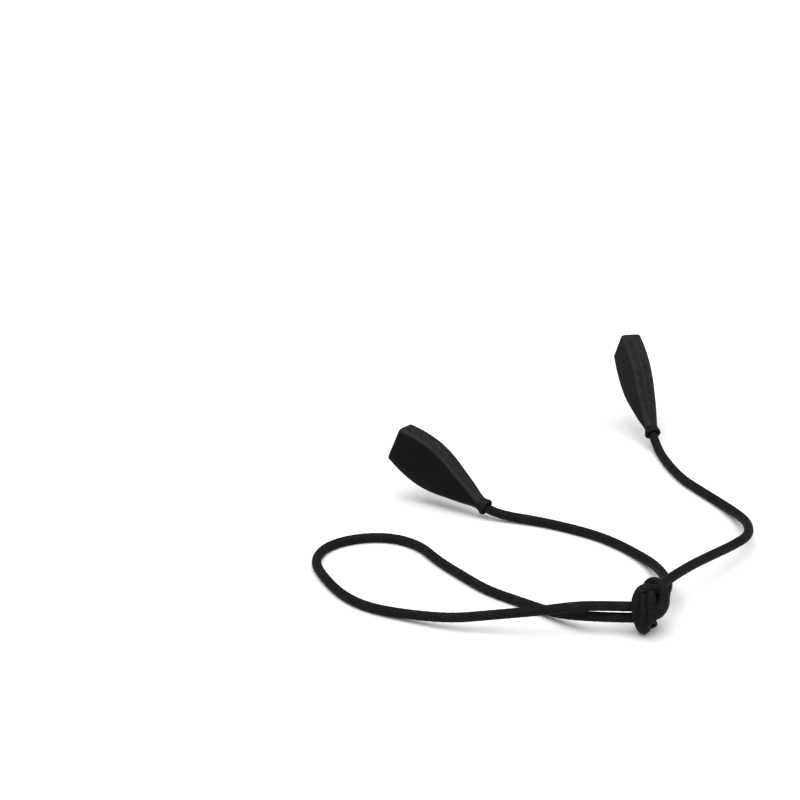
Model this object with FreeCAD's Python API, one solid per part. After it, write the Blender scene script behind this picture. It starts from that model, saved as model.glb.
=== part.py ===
"""Eyeglasses cord strap with two moulded temple sleeves and a sliding knot, laid out on a flat surface.

Millimetres. Z is up and z = 0 is the surface that the strap lies on. +Y points forward, to the wearer's
glasses, +X to the wearer's right. The origin is on the surface, below the middle of the box that holds the
two sleeves and the knot.
"""
import FreeCAD, Part
import math
import os

os.makedirs("parts", exist_ok=True)
V = FreeCAD.Vector
UP = V(0, 0, 1)

# ---- cord ------------------------------------------------------------------------------------------
CORD_D = 2.4
ARC_SHARE = 0.45  # of the shorter run beside a point, taken up by the arc there
FLOOR = CORD_D / 2  # height of the cord's centre where it lies on the surface

# ---- temple sleeve, measured from the lip at its tail (u = 0) to its mouth ---------------------------
SLEEVE_LENGTH = 30.5
NECK_END = 2.4
LIP_R = 2.15
NECK_R = 1.75
# place along the sleeve, half height, half thickness, corner radius
SLEEVE_SECTIONS = [
    (2.3, 1.75, 1.75, 1.55),
    (6.2, 2.6, 2.1, 1.0),
    (10.8, 3.95, 2.45, 0.8),
    (15.5, 5.35, 2.65, 0.7),
    (20.2, 6.05, 2.75, 0.7),
    (25.4, 5.85, 2.8, 0.9),
    (29.9, 5.05, 2.8, 1.0),
]
RIM_SECTION = (SLEEVE_LENGTH, 4.5, 2.25, 0.8)  # the sloping rim ends here, at the mouth
SLOT_MOUTH = (2.8, 1.5, 0.9)  # half height, half thickness, corner radius of the socket at the mouth
SLOT_END = (2.3, 1.3, 0.8)
SLOT_END_U = 10.0
BORE_CLEARANCE = 0.06
FLARE = 0.55  # how far the bore opens out at the lip
FLARE_DEPTH = 0.8
OVERSHOOT = 1.0  # by which a cutting tool passes the face that it opens
CHAMBER_R = 1.6
CHAMBER_U = 4.6

# ---- stopper on each end of the cord, inside its sleeve ----------------------------------------------
STOPPER_R = 1.5
STOPPER_U = (4.8, 7.6)
STOPPER_CHAMFER = 0.2
CORD_END_U = 6.6

# ---- where each sleeve lies: centre of its lip, heading and climb of its axis, lean to the right -------
LEFT_LIP, LEFT_HEADING, LEFT_CLIMB, LEFT_LEAN = V(-28.97, 23.95, 2.8), -11.4, 22.8, 4.5
RIGHT_LIP, RIGHT_HEADING, RIGHT_CLIMB, RIGHT_LEAN = V(33.53, 26.61, 3.67), 28.7, 32.2, 4.8

# ---- knot: (along, behind, up) from the middle of its face that looks to the tail loop ---------------
# "along" follows the two stacked runs of cord back to the knot's other end.
KNOT_FACE = V(-46.4, -45.6, 0)
ALONG_RUNS = V(0.685, -0.728, 0).normalize()
BEHIND_RUNS = UP.cross(ALONG_RUNS)
STRAND_LOW = 3.6  # height of the centres of the two runs that go through the knot
STRAND_HIGH = 6.5
KNOT_GAP = 0.3  # between the knot and each run, all round
RING_LENGTH = 3.3
RING_R = STRAND_LOW  # outer radius round each run's centre, so that the ring stands on the surface
WRAP = [
    (2.2, 3.0, 8.8),
    (3.8, 4.4, 10.8),
    (6.2, 3.8, 11.2),
    (7.2, -0.5, 10.1),
    (7.2, -3.0, 7.9),
    (5.5, -3.5, 6.0),
    (3.3, -2.9, 4.8),
]
TAIL = [(3.2, -2.8, 8.2), (4.6, -4.0, 3.2)]


def sleeve_axes(heading, climb, lean):
    """Unit vectors along the sleeve to its mouth, and up across its height."""
    h, c, r = (math.radians(x) for x in (heading, climb, lean))
    along = V(math.sin(h) * math.cos(c), math.cos(h) * math.cos(c), math.sin(c))
    side = along.cross(UP).normalize()
    up = side.cross(along) * math.cos(r) + side * math.sin(r)
    return along, up


LEFT_ALONG, LEFT_UP = sleeve_axes(LEFT_HEADING, LEFT_CLIMB, LEFT_LEAN)
RIGHT_ALONG, RIGHT_UP = sleeve_axes(RIGHT_HEADING, RIGHT_CLIMB, RIGHT_LEAN)


def on_axis(lip, along, u):
    return lip + along * u


def exit_corner(lip, along):
    """Where a sleeve's axis comes down to the height of the cord that lies on the surface."""
    return lip - along * ((lip.z - FLOOR) / along.z)


def by_knot(along, behind, up):
    """A point given from the knot's face."""
    return KNOT_FACE + ALONG_RUNS * along + BEHIND_RUNS * behind + UP * up


# The cord from the end in the left sleeve, through the knot, round the loop, through the knot again and
# to the end in the right sleeve.
ROUTE = [
    on_axis(LEFT_LIP, LEFT_ALONG, CORD_END_U),
    exit_corner(LEFT_LIP, LEFT_ALONG),
    V(-22.2, 11.2, FLOOR),
    V(-18.4, -1.2, FLOOR),
    V(-17.4, -9.4, FLOOR),
    V(-18.1, -19.1, FLOOR),
    V(-21.4, -29.1, 2.5),
    V(-28.7, -40.1, 4.6),
    V(-34.4, -44.3, 5.2),
    by_knot(7.4, 2.9, 5.1),
    by_knot(4.9, 0.0, STRAND_LOW),
    by_knot(-10.0, 0.0, STRAND_LOW),
    V(-55.5, -29.0, 1.8),
    V(-56.4, -18.5, FLOOR),
    V(-58.1, -8.3, FLOOR),
    V(-57.1, 2.1, FLOOR),
    V(-55.9, 12.3, FLOOR),
    V(-53.5, 21.4, FLOOR),
    V(-55.4, 30.2, FLOOR),
    V(-62.6, 36.2, FLOOR),
    V(-71.2, 37.4, FLOOR),
    V(-78.4, 32.7, FLOOR),
    V(-82.2, 23.9, FLOOR),
    V(-85.0, 13.6, FLOOR),
    V(-84.7, 4.6, FLOOR),
    V(-80.9, -5.5, 1.7),
    V(-76.0, -16.1, 2.9),
    V(-70.1, -22.6, 4.1),
    V(-62.8, -31.5, 5.9),
    V(-57.6, -35.7, 6.6),
    by_knot(-9.5, 0.0, STRAND_HIGH),
    by_knot(4.5, 0.0, STRAND_HIGH),
    by_knot(6.4, 3.0, 8.4),
    V(-36.3, -44.8, 8.5),
    V(-23.8, -41.3, 7.5),
    V(-14.1, -39.4, 6.5),
    V(-3.9, -37.6, 5.4),
    V(4.3, -35.3, 4.6),
    V(11.1, -28.6, 3.4),
    V(15.3, -21.1, 2.1),
    V(18.2, -12.8, 1.3),
    V(20.4, -3.1, FLOOR),
    V(22.0, 4.2, FLOOR),
    V(26.0, 13.4, FLOOR),
    exit_corner(RIGHT_LIP, RIGHT_ALONG),
    on_axis(RIGHT_LIP, RIGHT_ALONG, CORD_END_U),
]


# ---- cord ------------------------------------------------------------------------------------------
def rounded_path(points):
    """Straight runs joined by tangent arcs, as edges, with the arcs' radii and the path's length."""
    edges, radii, start = [], [], points[0]
    for before, corner, after in zip(points, points[1:], points[2:]):
        back, ahead = before - corner, after - corner
        reach = ARC_SHARE * min(back.Length, ahead.Length)
        back.normalize()
        ahead.normalize()
        half_turn = (math.pi - back.getAngle(ahead)) / 2
        radius = reach / math.tan(half_turn)
        enter, leave = corner + back * reach, corner + ahead * reach
        middle = corner + (back + ahead).normalize() * (radius / math.cos(half_turn) - radius)
        edges.append(Part.LineSegment(start, enter).toShape())
        edges.append(Part.Arc(enter, middle, leave).toShape())
        radii.append(radius)
        start = leave
    edges.append(Part.LineSegment(start, points[-1]).toShape())
    return edges, radii, sum(e.Length for e in edges)


def tube(points, diameter):
    """The cord that follows the points, with its length and its volume over that of a straight rod."""
    edges, radii, length = rounded_path(points)
    section = Part.Wire([Part.makeCircle(diameter / 2, points[0], points[1] - points[0])])
    solid = Part.Wire(edges).makePipeShell([section], True, False)
    expected = math.pi * diameter**2 / 4 * length
    print("tube %.1f mm long, volume / expected %.4f" % (length, solid.Volume / expected))
    print("radii in diameters:", " ".join("%.1f" % (r / diameter) for r in radii))
    return solid


# ---- sleeve, built along +X from its lip, with its height along Z ------------------------------------
def rounded_rectangle(u, half_height, half_thickness, corner):
    """A rounded rectangle across the sleeve's axis, as a closed wire of four sides and four arcs."""
    edges = []
    y, z = half_thickness - corner, half_height - corner
    slope = corner * math.sqrt(0.5)
    for side_y, side_z in ((1, 1), (-1, 1), (-1, -1), (1, -1)):
        cy, cz = side_y * y, side_z * z
        flat, edge = V(u, cy + side_y * corner, cz), V(u, cy, cz + side_z * corner)
        on_arc = V(u, cy + side_y * slope, cz + side_z * slope)
        first, last = (flat, edge) if side_y * side_z > 0 else (edge, flat)
        edges.append((first, on_arc, last))
    made = []
    for (first, on_arc, last), (following, _, _) in zip(edges, edges[1:] + edges[:1]):
        made.append(Part.Arc(first, on_arc, last).toShape())
        made.append(Part.LineSegment(last, following).toShape())
    return Part.Wire(made)


def lip_and_neck():
    """The flared lip at the tail, turned round the sleeve's axis."""
    outline = [(0.0, LIP_R - 0.25), (0.25, LIP_R), (0.9, LIP_R - 0.05), (NECK_END, NECK_R)]
    into_body = NECK_END + 0.4
    closed = [(0.0, 0.0)] + outline + [(into_body, NECK_R), (into_body, 0.0), (0.0, 0.0)]
    half = [V(u, 0, r) for u, r in closed]
    return Part.Face(Part.makePolygon(half)).revolve(V(0, 0, 0), V(1, 0, 0), 360)


def sleeve():
    body = Part.makeLoft([rounded_rectangle(*s) for s in SLEEVE_SECTIONS], True, False)
    rim = Part.makeLoft([rounded_rectangle(*s) for s in (SLEEVE_SECTIONS[-1], RIM_SECTION)], True, True)
    body = body.fuse(rim).fuse(lip_and_neck()).removeSplitter()
    slot_sections = [(SLOT_END_U, *SLOT_END), (SLEEVE_LENGTH + OVERSHOOT, *SLOT_MOUTH)]
    slot = Part.makeLoft([rounded_rectangle(*s) for s in slot_sections], True, True)
    bore_r = CORD_D / 2 + BORE_CLEARANCE
    chamber_length = SLOT_END_U + OVERSHOOT - CHAMBER_U
    chamber = Part.makeCylinder(CHAMBER_R, chamber_length, V(CHAMBER_U, 0, 0), V(1, 0, 0))
    bore = Part.makeCylinder(bore_r, CHAMBER_U + 2 * OVERSHOOT, V(-OVERSHOOT, 0, 0), V(1, 0, 0))
    flare = Part.makeCone(CORD_D / 2 + FLARE, bore_r, FLARE_DEPTH, V(0, 0, 0), V(1, 0, 0))
    return body.cut(slot).cut(chamber).cut(bore).cut(flare)


def stopper():
    """A crimped cap on the cord's end: it can't pass the bore, and it turns in its chamber."""
    near, far = STOPPER_U
    cap = Part.makeCylinder(STOPPER_R, far - near, V(near, 0, 0), V(1, 0, 0))
    rims = [e for e in cap.Edges if isinstance(e.Curve, Part.Circle)]
    cap = cap.makeChamfer(STOPPER_CHAMFER, rims)
    return cap.cut(Part.makeCylinder(CORD_D / 2, CORD_END_U - near, V(near, 0, 0), V(1, 0, 0)))


def place(shape, lip, along, up):
    """Moves a shape built along +X onto a sleeve's axis."""
    left = up.cross(along)
    placed = shape.copy()
    placed.Placement = FreeCAD.Placement(lip, FreeCAD.Rotation(along, left, up, "XYZ"))
    return placed


# ---- knot ------------------------------------------------------------------------------------------
def round_both_runs(radius, start, length):
    """A bar with round top and bottom whose two axes are the runs that go through the knot."""
    width, height = 2 * radius, STRAND_HIGH - STRAND_LOW
    low = Part.makeCylinder(radius, length, by_knot(start, 0, STRAND_LOW), ALONG_RUNS)
    high = Part.makeCylinder(radius, length, by_knot(start, 0, STRAND_HIGH), ALONG_RUNS)
    middle = Part.makeBox(length, width, height, V(0, -radius, 0))
    middle.Placement = FreeCAD.Placement(
        by_knot(start, 0, STRAND_LOW), FreeCAD.Rotation(ALONG_RUNS, BEHIND_RUNS, UP, "XYZ")
    ).multiply(middle.Placement)
    return low.fuse(high).fuse(middle).removeSplitter()


def knot():
    """A ring round both runs, a wrap over the place where they turn back, and the trimmed tail."""
    ring = round_both_runs(RING_R, 0, RING_LENGTH)
    wrap = tube([by_knot(*p) for p in WRAP], CORD_D)
    root, end = (by_knot(*p) for p in TAIL)
    tail = Part.makeCylinder(CORD_D / 2, (end - root).Length, root, end - root)
    whole = ring.fuse(wrap).fuse(tail)
    return whole.cut(round_both_runs(CORD_D / 2 + KNOT_GAP, -OVERSHOOT, RING_LENGTH + 2 * OVERSHOOT))


def export(name, shape):
    solids = shape.Solids
    print("%-22s solids %d valid %s volume %.1f" % (name, len(solids), shape.isValid(), shape.Volume))
    shape.exportStep("parts/%s.step" % name)


NODES = {
    "left_temple_sleeve": place(sleeve(), LEFT_LIP, LEFT_ALONG, LEFT_UP),
    "right_temple_sleeve": place(sleeve(), RIGHT_LIP, RIGHT_ALONG, RIGHT_UP),
    "left_cord_stopper": place(stopper(), LEFT_LIP, LEFT_ALONG, LEFT_UP),
    "right_cord_stopper": place(stopper(), RIGHT_LIP, RIGHT_ALONG, RIGHT_UP),
    "strap_cord": tube(ROUTE, CORD_D),
    "slider_knot": knot(),
}
for name, shape in NODES.items():
    export(name, shape)
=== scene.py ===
import math

import bmesh
import bpy
from mathutils import Matrix, Vector


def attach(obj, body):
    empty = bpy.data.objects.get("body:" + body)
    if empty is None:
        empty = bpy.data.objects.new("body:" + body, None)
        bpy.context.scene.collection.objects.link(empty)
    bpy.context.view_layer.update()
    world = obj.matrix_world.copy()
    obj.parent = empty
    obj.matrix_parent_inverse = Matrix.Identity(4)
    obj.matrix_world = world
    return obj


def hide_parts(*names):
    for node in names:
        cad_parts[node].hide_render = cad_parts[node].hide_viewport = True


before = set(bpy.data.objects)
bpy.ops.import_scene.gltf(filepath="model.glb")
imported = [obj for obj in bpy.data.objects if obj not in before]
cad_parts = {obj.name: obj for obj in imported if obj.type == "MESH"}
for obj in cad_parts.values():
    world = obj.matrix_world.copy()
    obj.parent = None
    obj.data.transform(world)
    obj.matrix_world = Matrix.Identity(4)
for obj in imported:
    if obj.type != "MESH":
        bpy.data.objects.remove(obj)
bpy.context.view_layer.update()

V = Vector
UP = V((0, 0, 1))
MM = 0.001

# ---- camera, where the photograph was taken from -------------------------------------------------------
CAMERA_AT = V((-437.29, -434.70, 285.97)) * MM
LOOK = V((0.59054, 0.71151, -0.38081))
RIGHT = V((0.76185, -0.64716, -0.02772))
ABOVE = V((0.26616, 0.27375, 0.92424))
LENS, SENSOR = 119.58, 36.0
NEAREST, FURTHEST = 0.01, 20.0  # what the camera sees, in metres

lens = bpy.data.cameras.new("camera")
lens.sensor_width = SENSOR
lens.lens = LENS
lens.clip_start, lens.clip_end = NEAREST, FURTHEST
camera = bpy.data.objects.new("camera", lens)
bpy.context.scene.collection.objects.link(camera)
camera.matrix_world = Matrix.Translation(CAMERA_AT) @ Matrix((RIGHT, ABOVE, -LOOK)).transposed().to_4x4()
bpy.context.scene.camera = camera

# ---- the strap's own measures, in millimetres ----------------------------------------------------------
CORD_D = 2.4
FLOOR = CORD_D / 2  # height of the middle of a cord that lies on the surface
STRAND_LOW, STRAND_HIGH = 3.6, 6.5  # heights of the two runs in the knot
KNOT_FACE = V((-46.4, -45.6, 0))
ALONG_RUNS = V((0.685, -0.728, 0)).normalized()
BEHIND_RUNS = UP.cross(ALONG_RUNS)
CORD_END_U = 6.6  # how far in from a sleeve's lip the cord ends


def sleeve_axes(heading, climb, lean):
    """Unit vectors along a sleeve to its mouth, and up across its height."""
    h, c, r = (math.radians(x) for x in (heading, climb, lean))
    along = V((math.sin(h) * math.cos(c), math.cos(h) * math.cos(c), math.sin(c)))
    side = along.cross(UP).normalized()
    return along, side.cross(along) * math.cos(r) + side * math.sin(r)


LEFT_LIP, RIGHT_LIP = V((-28.97, 23.95, 2.8)), V((33.53, 26.61, 3.67))
LEFT_ALONG, LEFT_UP = sleeve_axes(-11.4, 22.8, 4.5)
RIGHT_ALONG, RIGHT_UP = sleeve_axes(28.7, 32.2, 4.8)


def by_knot(along, behind, up):
    """A point given from the middle of the knot's face that looks to the tail loop."""
    return KNOT_FACE + ALONG_RUNS * along + BEHIND_RUNS * behind + UP * up


def exit_corner(lip, along):
    """Where a sleeve's axis comes down to the height of the cord that lies on the surface."""
    return lip - along * ((lip.z - FLOOR) / along.z)


STRAIGHT_U = 3.5  # a point added on each sleeve's axis keeps the cord in the middle of the bore
LEFT_BEND_U = -2.6  # the left end starts to turn before it comes down to the surface
ROUTE = [
    LEFT_LIP + LEFT_ALONG * CORD_END_U,
    LEFT_LIP + LEFT_ALONG * STRAIGHT_U,
    LEFT_LIP + LEFT_ALONG * LEFT_BEND_U,
    V((-22.2, 11.2, FLOOR)),
    V((-18.4, -1.2, FLOOR)),
    V((-17.4, -9.4, FLOOR)),
    V((-18.1, -19.1, FLOOR)),
    V((-21.4, -29.1, 2.5)),
    V((-28.7, -40.1, 4.6)),
    V((-34.4, -44.3, 5.2)),
    by_knot(7.4, 2.9, 5.1),
    by_knot(4.9, 0.0, STRAND_LOW),
    by_knot(-10.0, 0.0, STRAND_LOW),
    V((-55.5, -29.0, 1.8)),
    V((-56.4, -18.5, FLOOR)),
    V((-58.1, -8.3, FLOOR)),
    V((-57.1, 2.1, FLOOR)),
    V((-55.9, 12.3, FLOOR)),
    V((-53.5, 21.4, FLOOR)),
    V((-55.4, 30.2, FLOOR)),
    V((-62.6, 36.2, FLOOR)),
    V((-71.2, 37.4, FLOOR)),
    V((-78.4, 32.7, FLOOR)),
    V((-82.2, 23.9, FLOOR)),
    V((-85.0, 13.6, FLOOR)),
    V((-84.7, 4.6, FLOOR)),
    V((-80.9, -5.5, 1.7)),
    V((-76.0, -16.1, 2.9)),
    V((-70.1, -22.6, 4.1)),
    V((-62.8, -31.5, 5.9)),
    V((-57.6, -35.7, 6.6)),
    by_knot(-9.5, 0.0, STRAND_HIGH),
    by_knot(4.5, 0.0, STRAND_HIGH),
    by_knot(6.4, 3.0, 8.4),
    V((-36.3, -44.8, 8.5)),
    V((-23.8, -41.3, 7.5)),
    V((-14.1, -39.4, 6.5)),
    V((-3.9, -37.6, 5.4)),
    V((4.3, -35.3, 4.6)),
    V((11.1, -28.6, 3.4)),
    V((15.3, -21.1, 2.1)),
    V((18.2, -12.8, 1.3)),
    V((20.4, -3.1, FLOOR)),
    V((22.0, 4.2, FLOOR)),
    V((26.0, 13.4, FLOOR)),
    exit_corner(RIGHT_LIP, RIGHT_ALONG),
    RIGHT_LIP + RIGHT_ALONG * STRAIGHT_U,
    RIGHT_LIP + RIGHT_ALONG * CORD_END_U,
]


# ---- cord ----------------------------------------------------------------------------------------------
SPLINE_STEPS = 16  # for each control point


def smooth_line(points):
    """Points in metres along one NURBS spline whose control points are given in millimetres."""
    curve = bpy.data.curves.new("line", "CURVE")
    curve.dimensions = "3D"
    spline = curve.splines.new("NURBS")
    spline.points.add(len(points) - 1)
    for made, p in zip(spline.points, points):
        made.co = (p.x * MM, p.y * MM, p.z * MM, 1.0)
    spline.order_u = 3
    spline.use_endpoint_u = True
    spline.resolution_u = SPLINE_STEPS
    carrier = bpy.data.objects.new("line", curve)
    bpy.context.scene.collection.objects.link(carrier)
    bpy.context.view_layer.update()
    mesh = bpy.data.meshes.new_from_object(carrier)
    line = [v.co.copy() for v in mesh.vertices]
    bpy.data.objects.remove(carrier)
    bpy.data.meshes.remove(mesh)
    bpy.data.curves.remove(curve)
    return line


def even_steps(line, step):
    """The same line with points an even distance apart, its length, and the direction at each point."""
    travelled = [0.0]
    for a, b in zip(line, line[1:]):
        travelled.append(travelled[-1] + (b - a).length)
    total = travelled[-1]
    count = max(2, round(total / step))
    points, i = [], 0
    for k in range(count + 1):
        s = total * k / count
        while i < len(line) - 2 and travelled[i + 1] < s:
            i += 1
        span = travelled[i + 1] - travelled[i]
        points.append(line[i].lerp(line[i + 1], (s - travelled[i]) / span if span else 0.0))
    headings = []
    for k in range(count + 1):
        a, b = points[max(0, k - 1)], points[min(count, k + 1)]
        headings.append((b - a).normalized())
    return points, headings, total


STRANDS = 14  # in each of the braid's two directions
PITCH = 1.1 * MM  # of one crossing along the cord
RELIEF = 0.075 * MM  # depth between strands
CROWN_POWER, ARCH_POWER = 2.2, 0.7  # how flat a strand is across and along
CROSSING_HEIGHT = 0.35  # of a strand where it goes under another
RING_SIDES, RING_STEP = 56, 0.26 * MM  # of the cord's mesh


def braid(s, angle):
    """Height of a round braid's surface from 0, between strands, to 1, on top of one."""
    a = STRANDS * angle / math.tau + s / (2 * PITCH)
    b = STRANDS * angle / math.tau - s / (2 * PITCH)
    across, along = a % 1.0, b % 1.0
    if (math.floor(a) + math.floor(b)) % 2:
        across, along = along, across
    crown = 1 - abs(2 * across - 1) ** CROWN_POWER
    arch = math.sin(math.pi * along) ** ARCH_POWER if 0 < along < 1 else 0.0
    return crown * (CROSSING_HEIGHT + (1 - CROSSING_HEIGHT) * arch)


# A heat-cut end: share of the radius, height past the last ring in millimetres, relief, which also paints
# shade into its sunken middle.
CUT_END = [(0.93, 0.10, 0.9), (0.80, 0.16, 1.0), (0.62, 0.06, 0.5), (0.35, -0.25, 0.0), (0.08, -0.40, 0.0)]


def mesh_object(name, mesh):
    """A linked object made from a bmesh, which is freed."""
    data = bpy.data.meshes.new(name)
    mesh.to_mesh(data)
    mesh.free()
    made = bpy.data.objects.new(name, data)
    bpy.context.scene.collection.objects.link(made)
    return made


def braided_cord(name, points, diameter=CORD_D):
    """A braided round cord round the spline that has these control points, with its centreline."""
    line, headings, total = even_steps(smooth_line(points), RING_STEP)
    across = headings[0].orthogonal().normalized()
    radius = diameter / 2 * MM
    mesh = bmesh.new()
    uv = mesh.loops.layers.uv.new("UVMap")
    # The relief also paints shade between the strands, through the braid's material.
    relief = mesh.verts.layers.float.new("relief")

    def ring_at(centre, heading, height_and_radius):
        other = heading.cross(across)
        ring = []
        for j in range(RING_SIDES):
            angle = math.tau * j / RING_SIDES
            h, r = height_and_radius(angle)
            v = mesh.verts.new(centre + (across * math.cos(angle) + other * math.sin(angle)) * r)
            v[relief] = h
            ring.append(v)
        return ring

    def woven(s):
        def at(angle):
            h = braid(s, angle)
            return h, radius - RELIEF * (1 - h)

        return at

    rings, stations = [], []
    for share, past, h in reversed(CUT_END):
        centre = line[0] - headings[0] * past * MM
        rings.append(ring_at(centre, headings[0], lambda _: (h, radius * share)))
        stations.append(0.0)
    for k, (centre, heading) in enumerate(zip(line, headings)):
        across = (across - heading * across.dot(heading)).normalized()
        s = total * k / (len(line) - 1)
        rings.append(ring_at(centre, heading, woven(s)))
        stations.append(s)
    for share, past, h in CUT_END:
        centre = line[-1] + headings[-1] * past * MM
        rings.append(ring_at(centre, headings[-1], lambda _: (h, radius * share)))
        stations.append(total)
    for low, high, s_low, s_high in zip(rings, rings[1:], stations, stations[1:]):
        for j in range(RING_SIDES):
            n = (j + 1) % RING_SIDES
            face = mesh.faces.new((low[j], low[n], high[n], high[j]))
            face.smooth = True
            corners = ((j, s_low), (j + 1, s_low), (j + 1, s_high), (j, s_high))
            for loop, (c, s) in zip(face.loops, corners):
                loop[uv].uv = (c / RING_SIDES * math.pi * diameter, s / MM)
    mesh.faces.new(list(reversed(rings[0])))
    mesh.faces.new(rings[-1])
    return mesh_object(name, mesh), line


# ---- materials -----------------------------------------------------------------------------------------
# Cord: the colour between strands is painted shade; on the strands it is the cord's own black.
SHADE_BETWEEN_STRANDS, ON_STRANDS = (0.0015, 0.0015, 0.0017), (0.0215, 0.0215, 0.0226)
# Painted light and shade on the sleeves: broad faces painted dark as shade, narrow faces painted greyer as
# if lit from above.
PAINTED_SHADE_BROAD_LOW, PAINTED_SHADE_BROAD_HIGH = (0.0058, 0.0058, 0.0060), (0.0080, 0.0080, 0.0084)
PAINTED_LIGHT_NARROW_LOW, PAINTED_LIGHT_NARROW_HIGH = (0.0130, 0.0130, 0.0142), (0.0215, 0.0215, 0.0238)
WORN_RUBBER = (0.034, 0.034, 0.037, 1)
STEEL_DARK, STEEL_LIGHT = (0.42, 0.42, 0.43), (0.6, 0.6, 0.61)
MATT_SPECULAR = 0.035  # of the cord and the rubber


def new_material(name):
    """A node material, with its shader and functions that add nodes and links."""
    made = bpy.data.materials.new(name)
    made.use_nodes = True
    tree = made.node_tree

    def add(kind, **inputs):
        node = tree.nodes.new(kind)
        for key, value in inputs.items():
            node.inputs[key.replace("_", " ")].default_value = value
        return node

    return made, tree.nodes["Principled BSDF"], add, tree.links.new


def ramp(add, low, high, low_at=0.0, high_at=1.0):
    """A colour ramp node between two grey levels or colours."""
    node = add("ShaderNodeValToRGB")
    ends = node.color_ramp.elements
    ends[0].position, ends[1].position = low_at, high_at
    for end, colour in zip(ends, (low, high)):
        end.color = (colour, colour, colour, 1) if isinstance(colour, float) else (*colour, 1)
    return node


def bump_chain(add, link, shader, layers):
    """Bump from several (height socket, strength, distance) layers, each on top of the one before."""
    below = None
    for height, strength, distance in layers:
        node = add("ShaderNodeBump", Strength=strength, Distance=distance)
        link(height, node.inputs["Height"])
        if below:
            link(below.outputs["Normal"], node.inputs["Normal"])
        below = node
    link(below.outputs["Normal"], shader.inputs["Normal"])


def cord_material():
    """Black polyester braid: shade painted dark between strands, with the fibres' fine lines along the cord.
    """
    made, shader, add, link = new_material("black_braid")
    place = add("ShaderNodeTexCoord")
    height = add("ShaderNodeAttribute")
    height.attribute_name = "relief"
    # Painted shade: the colour darkens with the relief into the valleys between strands.
    tint = ramp(add, SHADE_BETWEEN_STRANDS, ON_STRANDS, 0.1, 1.0)
    link(height.outputs["Fac"], tint.inputs["Fac"])
    cloudy = add("ShaderNodeTexNoise", Scale=420.0, Detail=4.0)
    link(place.outputs["Object"], cloudy.inputs["Vector"])
    shade = ramp(add, 0.62, 1.0, 0.3, 0.7)
    link(cloudy.outputs["Fac"], shade.inputs["Fac"])
    mixed = add("ShaderNodeMix")
    mixed.data_type, mixed.blend_type = "RGBA", "MULTIPLY"
    mixed.inputs["Factor"].default_value = 1.0
    link(tint.outputs["Color"], mixed.inputs["A"])
    link(shade.outputs["Color"], mixed.inputs["B"])
    link(mixed.outputs["Result"], shader.inputs["Base Color"])
    rough = ramp(add, 0.75, 0.5)
    link(height.outputs["Fac"], rough.inputs["Fac"])
    link(rough.outputs["Color"], shader.inputs["Roughness"])
    stretched = add("ShaderNodeMapping", Scale=(14.0, 1.6, 1.0))
    link(place.outputs["UV"], stretched.inputs["Vector"])
    fibres = add("ShaderNodeTexNoise", Scale=2.0, Detail=5.0)
    link(stretched.outputs["Vector"], fibres.inputs["Vector"])
    bump_chain(add, link, shader, [(fibres.outputs["Fac"], 0.5, 0.03 * MM)])
    shader.inputs["Specular IOR Level"].default_value = MATT_SPECULAR
    shader.inputs["Sheen Weight"].default_value = 0.006
    shader.inputs["Sheen Roughness"].default_value = 0.45
    return made


def rubber_material():
    """Matt black rubber: broad faces painted dark as shade, narrow faces painted greyer as if lit from
    above, a painted reflection low on each broad face, and edges worn greyer and smoother.
    """
    made, shader, add, link = new_material("black_rubber")
    place = add("ShaderNodeTexCoord")
    edge = add("ShaderNodeAttribute")
    edge.attribute_name = "edge"
    # The 'narrow' attribute carries painted light: 1 on the narrow faces, painted greyer as if lit from
    # above, 0 on the broad faces, left dark as painted shade.
    narrow = add("ShaderNodeAttribute")
    narrow.attribute_name = "narrow"
    cloudy = add("ShaderNodeTexNoise", Scale=160.0, Detail=6.0)
    link(place.outputs["Object"], cloudy.inputs["Vector"])
    painted_shade_broad_tint = ramp(add, PAINTED_SHADE_BROAD_LOW, PAINTED_SHADE_BROAD_HIGH, 0.35, 0.7)
    link(cloudy.outputs["Fac"], painted_shade_broad_tint.inputs["Fac"])
    blotchy = add("ShaderNodeTexNoise", Scale=900.0, Detail=5.0)
    link(place.outputs["Object"], blotchy.inputs["Vector"])
    painted_light_narrow_tint = ramp(add, PAINTED_LIGHT_NARROW_LOW, PAINTED_LIGHT_NARROW_HIGH, 0.35, 0.65)
    link(blotchy.outputs["Fac"], painted_light_narrow_tint.inputs["Fac"])
    # Mix of the painted shade on the broad faces and the painted light on the narrow faces.
    faces = add("ShaderNodeMix")
    faces.data_type = "RGBA"
    link(narrow.outputs["Fac"], faces.inputs["Factor"])
    link(painted_shade_broad_tint.outputs["Color"], faces.inputs["A"])
    link(painted_light_narrow_tint.outputs["Color"], faces.inputs["B"])
    worn = add("ShaderNodeMix")
    worn.data_type = "RGBA"
    worn.inputs["B"].default_value = WORN_RUBBER
    rubbed = add("ShaderNodeMath")
    rubbed.operation = "MULTIPLY"
    link(edge.outputs["Fac"], rubbed.inputs[0])
    link(cloudy.outputs["Fac"], rubbed.inputs[1])
    link(rubbed.outputs["Value"], worn.inputs["Factor"])
    link(faces.outputs["Result"], worn.inputs["A"])
    link(worn.outputs["Result"], shader.inputs["Base Color"])
    smooth = ramp(add, 0.7, 0.5)
    link(rubbed.outputs["Value"], smooth.inputs["Fac"])
    link(smooth.outputs["Color"], shader.inputs["Roughness"])
    grain = add("ShaderNodeTexNoise", Scale=5200.0, Detail=3.0)
    link(place.outputs["Object"], grain.inputs["Vector"])
    waves = add("ShaderNodeTexNoise", Scale=330.0, Detail=2.0)
    link(place.outputs["Object"], waves.inputs["Vector"])
    layers = [(waves.outputs["Fac"], 0.25, 0.12 * MM), (grain.outputs["Fac"], 0.35, 0.02 * MM)]
    bump_chain(add, link, shader, layers)
    shader.inputs["Specular IOR Level"].default_value = MATT_SPECULAR
    return made


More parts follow.
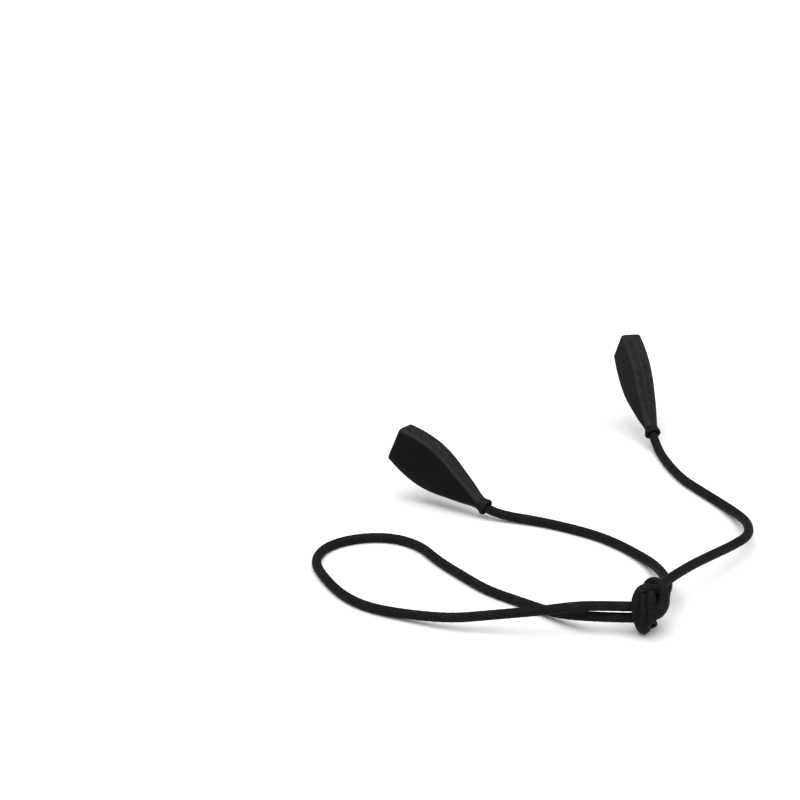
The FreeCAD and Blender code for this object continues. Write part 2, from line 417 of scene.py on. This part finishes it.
def steel_material():
    """Crimped steel with fine marks all over."""
    made, shader, add, link = new_material("crimped_steel")
    place = add("ShaderNodeTexCoord")
    marks = add("ShaderNodeTexNoise", Scale=3000.0, Detail=4.0)
    link(place.outputs["Object"], marks.inputs["Vector"])
    tint = ramp(add, STEEL_DARK, STEEL_LIGHT)
    link(marks.outputs["Fac"], tint.inputs["Fac"])
    link(tint.outputs["Color"], shader.inputs["Base Color"])
    rough = ramp(add, 0.28, 0.45)
    link(marks.outputs["Fac"], rough.inputs["Fac"])
    link(rough.outputs["Color"], shader.inputs["Roughness"])
    bump_chain(add, link, shader, [(marks.outputs["Fac"], 0.3, 0.02 * MM)])
    shader.inputs["Metallic"].default_value = 1.0
    return made


BRAID, RUBBER, STEEL = cord_material(), rubber_material(), steel_material()

# ---- the strap's cord ------------------------------------------------------------------------------------
cord, cord_line = braided_cord("braided_cord", ROUTE)
cord.data.materials.append(BRAID)
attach(cord, "cord")
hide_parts("strap_cord")

# The crimped caps on the cord's ends keep their CAD shape.
for node in ("left_cord_stopper", "right_cord_stopper"):
    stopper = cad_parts[node]
    stopper.data.materials.clear()
    stopper.data.materials.append(STEEL)

# ---- sleeves -------------------------------------------------------------------------------------------
# Rings from the lip to the mouth and back inside, in millimetres: distance u from the lip, half height, half
# thickness and corner radius, or u and the radius where a ring is round.
SLEEVE_LENGTH = 30.5
BODY = [
    (2.4, 1.72, 1.72, 1.6),
    (4.0, 1.95, 1.9, 1.35),
    (6.2, 2.6, 2.1, 1.0),
    (10.8, 3.95, 2.45, 0.85),
    (15.5, 5.35, 2.65, 0.75),
    (20.2, 6.05, 2.75, 0.75),
    (25.4, 5.85, 2.8, 0.85),
    (29.8, 5.08, 2.8, 0.95),
]
LIP = [
    (0.02, 1.78),
    (0.0, 1.86),
    (0.05, 1.98),
    (0.2, 2.1),
    (0.42, 2.15),
    (0.7, 2.12),
    (1.1, 1.98),
    (1.6, 1.83),
    (2.0, 1.75),
]
RIM = [(30.1, 4.98, 2.72, 0.92), (30.32, 4.82, 2.56, 0.88), (30.46, 4.6, 2.34, 0.84), (30.5, 4.3, 2.1, 0.8)]
SOCKET = [
    (30.5, 3.05, 1.72, 1.0),
    (30.42, 2.9, 1.58, 0.95),
    (30.2, 2.82, 1.5, 0.9),
    (20.0, 2.55, 1.4, 0.85),
    (10.2, 2.32, 1.3, 0.8),
    (10.0, 2.1, 1.1, 0.7),
]
BORE = [(10.0, 1.6), (4.7, 1.6), (4.6, 1.5), (4.6, 1.28), (0.85, 1.27), (0.5, 1.45), (0.15, 1.68)]
ROW_STEP = 0.25
RIDGE, RIDGE_HALF_WIDTH = 0.09, 0.2  # the parting line down the middle of each narrow face
RIDGE_FADE_IN, RIDGE_FADE_OUT = 3.0, 1.2  # lengths over which it rises from the neck and ends at the mouth
GATE_U, GATE_R, GATE_HEIGHT = 19.2, 0.38, 0.16  # where the mould was filled, on the upper parting line
RIM_WEAR, RIDGE_WEAR, GATE_WEAR = 0.8, 0.9, 2.5
INSIDE_GREY = 0.4  # share of the narrow faces' colour inside
# A painted reflection of the white floor, a greyer band along the lower edge of each broad face: where it
# starts, as a share of the way from the middle of the face, and the share of the narrow faces' colour that
# it has at the edge.
LOW_REFLECTION_FROM, LOW_REFLECTION_SHARE = 0.7, 0.5
# Painted light: how soon the narrow faces' greyer colour starts round a corner.
CORNER_PAINTED_LIGHT_POWER = 0.6  # under 1, the narrow faces' colour starts early round a corner
ARC_STEPS, NARROW_STEPS, BROAD_STEPS = 10, 20, 24
MIDDLE_POWER = 1.8  # over 1, the points across a narrow face crowd towards its middle
ROUND_CORNER = 0.97  # of a round ring's radius; under 1, because ring_outline needs some flat side
ON_FACE = 0.001  # a point this near a narrow face is on it


def body_rows():
    """Rings along the outside, every ROW_STEP, on a smooth curve through the BODY sections."""
    rows, u = [], BODY[0][0]
    while u < BODY[-1][0] - ROW_STEP / 2:
        i = max(k for k in range(len(BODY) - 1) if BODY[k][0] <= u)
        a, b = BODY[i], BODY[i + 1]
        before, after = BODY[max(0, i - 1)], BODY[min(len(BODY) - 1, i + 2)]
        span = b[0] - a[0]
        t = (u - a[0]) / span
        row = [u]
        for k in (1, 2, 3):
            slope_a = (b[k] - before[k]) / (b[0] - before[0]) * span
            slope_b = (after[k] - a[k]) / (after[0] - a[0]) * span
            value = (2 * t**3 - 3 * t**2 + 1) * a[k] + (t**3 - 2 * t**2 + t) * slope_a
            row.append(value + (3 * t**2 - 2 * t**3) * b[k] + (t**3 - t**2) * slope_b)
        rows.append(tuple(row))
        u += ROW_STEP
    return rows + [BODY[-1]]


def round_row(u, radius):
    """A round ring, as a row like those in BODY."""
    return (u, radius, radius, ROUND_CORNER * radius)


def ring_outline(half_height, half_thickness, corner):
    """Points (side, up, how much of an edge, how much painted light: 1 on a narrow face, some as a painted
    reflection low on a broad face) round a rounded rectangle, closest together mid-way across the narrow
    faces, where the parting line is."""
    y, z = half_thickness - corner, half_height - corner
    points = []
    for quarter, (side, up) in enumerate(((1, 1), (-1, 1), (-1, -1), (1, -1))):
        for k in range(ARC_STEPS):
            angle = math.pi / 2 * (quarter + k / ARC_STEPS)
            edge = math.sin(math.pi * k / ARC_STEPS)
            narrow = abs(math.sin(angle)) ** CORNER_PAINTED_LIGHT_POWER
            across, high = side * y + corner * math.cos(angle), up * z + corner * math.sin(angle)
            points.append((across, high, edge, narrow))
        if quarter % 2 == 0:
            for k in range(NARROW_STEPS):
                t = 1 - 2 * k / NARROW_STEPS
                across = up * math.copysign(abs(t) ** MIDDLE_POWER, t) * y
                points.append((across, up * half_height, 0.0, 1.0))
        else:
            for k in range(BROAD_STEPS):
                high = -side * z * (1 - 2 * k / BROAD_STEPS)
                # Painted reflection: the lower part of each broad face drawn greyer.
                low_reflection = max(0.0, (-high / z - LOW_REFLECTION_FROM) / (1 - LOW_REFLECTION_FROM))
                points.append((side * half_thickness, high, 0.0, LOW_REFLECTION_SHARE * low_reflection))
    return points


def moulding_marks(u, side, height, fade):
    """How far the parting line and gate mark stand up at a point of a narrow face, and their wear."""
    rise = RIDGE * fade * max(0.0, 1 - (side / RIDGE_HALF_WIDTH) ** 2)
    wear = RIDGE_WEAR * rise / RIDGE
    if height > 0:
        gate = math.exp(-(((u - GATE_U) ** 2 + side**2) / GATE_R**2) ** 2)
        rise += GATE_HEIGHT * gate
        wear = max(wear, GATE_WEAR * gate)
    return rise, wear


def sleeve(name, node, body, lip, along, up):
    """One sleeve as a closed skin: outside from lip to mouth, then inside down to the cord's bore."""
    left = up.cross(along)
    outside = body_rows()
    rows = [round_row(*r) for r in LIP] + outside + RIM + SOCKET + [round_row(*r) for r in BORE]
    rim_from = len(LIP) + len(outside)
    mesh = bmesh.new()
    edge_layer = mesh.verts.layers.float.new("edge")
    # 'narrow' holds the painted light: narrow faces painted greyer as if lit from above, broad faces dark as
    # painted shade, and a painted reflection low on each broad face.
    painted_light_layer = mesh.verts.layers.float.new("narrow")
    rings = []
    for i, (u, half_height, half_thickness, corner) in enumerate(rows):
        ring = []
        outer = len(LIP) <= i < rim_from
        rim = rim_from <= i < rim_from + len(RIM)
        fade = min(1.0, (u - BODY[0][0]) / RIDGE_FADE_IN, (SLEEVE_LENGTH - u) / RIDGE_FADE_OUT)
        for side, height, edge, narrow in ring_outline(half_height, half_thickness, corner):
            wear = edge if outer or rim else 0.0
            if rim:
                wear = max(edge, RIM_WEAR)
            elif outer and abs(height) > half_height - ON_FACE:
                rise, marked = moulding_marks(u, side, height, fade)
                wear = max(edge, marked)
                height += math.copysign(rise, height)
            v = mesh.verts.new((lip + along * u + left * side + up * height) * MM)
            v[edge_layer] = wear
            v[painted_light_layer] = narrow if outer or rim else INSIDE_GREY
            ring.append(v)
        rings.append(ring)
    for low, high in zip(rings, rings[1:] + rings[:1]):
        for j in range(len(low)):
            n = (j + 1) % len(low)
            mesh.faces.new((low[j], low[n], high[n], high[j])).smooth = True
    bmesh.ops.recalc_face_normals(mesh, faces=mesh.faces)
    made = mesh_object(name, mesh)
    made.data.materials.append(RUBBER)
    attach(made, body)
    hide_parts(node)


sleeve("left_sleeve_skin", "left_temple_sleeve", "left_sleeve", LEFT_LIP, LEFT_ALONG, LEFT_UP)
sleeve("right_sleeve_skin", "right_temple_sleeve", "right_sleeve", RIGHT_LIP, RIGHT_ALONG, RIGHT_UP)

# ---- knot ----------------------------------------------------------------------------------------------
# The lengths of cord seen outside, each as by_knot's (along, behind, up).
KNOT_CORD_D = 2.2  # drawn thinner by the tightening
# From under the dome over the two runs, down in front, under them, up behind, over as the dome and down in
# front again, to where it is tucked in.
TURNS = [
    (6.0, 1.8, 10.3),
    (4.6, 0.6, 10.9),
    (2.1, -0.6, 11.7),
    (0.8, -2.5, 9.9),
    (0.9, -2.7, 6.5),
    (1.3, -2.6, 4.1),
    (2.1, -1.7, 1.8),
    (2.2, 0.0, 1.0),
    (2.3, 2.5, 1.6),
    (2.5, 3.1, 4.5),
    (2.8, 3.2, 8.0),
    (3.4, 4.2, 10.8),
    (5.8, 3.7, 11.4),
    (7.3, 0.3, 10.5),
    (7.2, -2.9, 8.8),
    (6.0, -3.8, 6.8),
    (3.9, -3.1, 6.0),
]
# The turn between, from under the first where it crosses the runs.
INNER_TURN = [
    (2.4, -1.6, 10.2),
    (2.5, -3.3, 8.0),
    (2.6, -3.5, 4.3),
    (2.8, -2.5, 1.9),
    (3.1, -0.2, 1.0),
    (3.9, 2.6, 1.5),
    (4.3, 3.2, 4.0),
    (3.6, 3.6, 8.2),
]
# The trimmed end, from under the dome and out in front.
TAIL = [
    (4.2, -0.8, 10.4),
    (4.15, -2.9, 9.2),
    (4.6, -3.7, 6.9),
    (4.3, -3.8, 5.2),
    (4.9, -5.2, 4.5),
]
for name, points in (("knot_turns", TURNS), ("knot_inner_turn", INNER_TURN), ("knot_tail", TAIL)):
    piece, _ = braided_cord(name, [by_knot(*p) for p in points], KNOT_CORD_D)
    piece.data.materials.append(BRAID)
    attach(piece, "knot")
    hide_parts("slider_knot")

# ---- light and floor -------------------------------------------------------------------------------------
def soft_sun(name, heading, height, spread, strength):
    """A broad light from far away, which stands at these degrees clockwise from +Y and above level, and
    is this many degrees wide."""
    light = bpy.data.lights.new(name, "SUN")
    light.angle = math.radians(spread)
    light.energy = strength
    made = bpy.data.objects.new(name, light)
    bpy.context.scene.collection.objects.link(made)
    a, e = math.radians(heading), math.radians(height)
    stands = V((math.sin(a) * math.cos(e), math.cos(a) * math.cos(e), math.sin(e)))
    made.rotation_mode = "QUATERNION"
    made.rotation_quaternion = (-stands).to_track_quat("-Z", "Y")


soft_sun("key", heading=215, height=80, spread=95, strength=4.2)

FLOOR_REACH = 6  # metres each way
PAPER_WHITE, PAPER_ROUGHNESS = 0.92, 0.9
STUDIO_FILL = 0.15
floor_corners = [(x * FLOOR_REACH, y * FLOOR_REACH, 0) for x, y in ((-1, -1), (1, -1), (1, 1), (-1, 1))]
floor_mesh = bpy.data.meshes.new("floor")
floor_mesh.from_pydata(floor_corners, [], [(0, 1, 2, 3)])
floor = bpy.data.objects.new("floor", floor_mesh)
bpy.context.scene.collection.objects.link(floor)
paper = bpy.data.materials.new("paper")
paper.use_nodes = True
paper_shader = paper.node_tree.nodes["Principled BSDF"]
paper_shader.inputs["Base Color"].default_value = (PAPER_WHITE, PAPER_WHITE, PAPER_WHITE, 1)
paper_shader.inputs["Roughness"].default_value = PAPER_ROUGHNESS
floor_mesh.materials.append(paper)

world = bpy.data.worlds.new("studio")
bpy.context.scene.world = world
world.use_nodes = True
sky = world.node_tree.nodes["Background"]
sky.inputs["Color"].default_value = (1, 1, 1, 1)
sky.inputs["Strength"].default_value = STUDIO_FILL
bpy.context.scene.view_settings.view_transform = "Standard"
